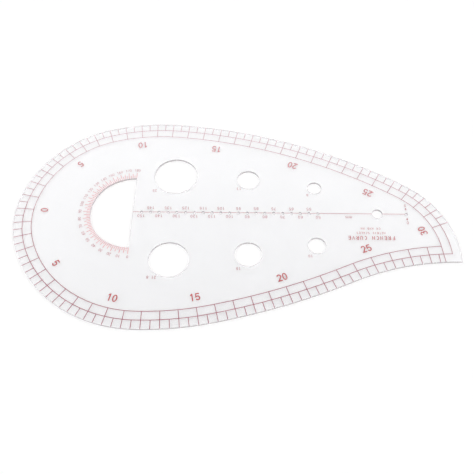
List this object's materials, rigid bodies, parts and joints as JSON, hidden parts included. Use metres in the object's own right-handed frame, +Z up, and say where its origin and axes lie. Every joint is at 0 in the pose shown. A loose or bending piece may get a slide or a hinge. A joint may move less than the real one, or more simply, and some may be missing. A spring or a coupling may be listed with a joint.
{
  "type": "french curve",
  "caption": "Flat clear teardrop-shaped french curve with red edge scales, a half-round protractor opening, round templates and a compass scale of small holes.",
  "frame": {"origin": "middle of the compass pivot hole, at the sheet's underside", "axes": "+X along the centre line from the blunt end to the tip, +Y across the sheet towards the edge whose scale runs to 30, +Z up from the underside to the printed face"},
  "size_m": [0.248, 0.1396, 0.0012],
  "materials": {
    "clear_sheet": "clear glossy plastic",
    "scale_line_ink": "thin screen-printed ink",
    "numeral_ink": "screen-printed ink",
    "fine_ink": "thin screen-printed ink"
  },
  "bodies": {
    "root": {"sheet": "clear_sheet", "lower_outer_line": "scale_line_ink", "lower_inner_line": "scale_line_ink", "upper_outer_line": "scale_line_ink", "upper_inner_line": "scale_line_ink", "lower_centimetre_marks": "scale_line_ink", "lower_half_marks": "scale_line_ink", "upper_centimetre_marks": "scale_line_ink", "upper_half_marks": "scale_line_ink", "zero_mark": "scale_line_ink", "lower_numerals": "numeral_ink", "upper_numerals": "numeral_ink", "zero_numeral": "numeral_ink", "degree_marks": "fine_ink", "five_degree_marks": "fine_ink", "ten_degree_marks": "fine_ink", "degree_numerals": "fine_ink", "compass_line": "fine_ink", "tens_numerals": "fine_ink", "fives_numerals": "fine_ink", "unit_mark": "fine_ink", "pivot_marks": "fine_ink", "template_numerals": "fine_ink", "title_block": "numeral_ink"}
  },
  "joints": []
}
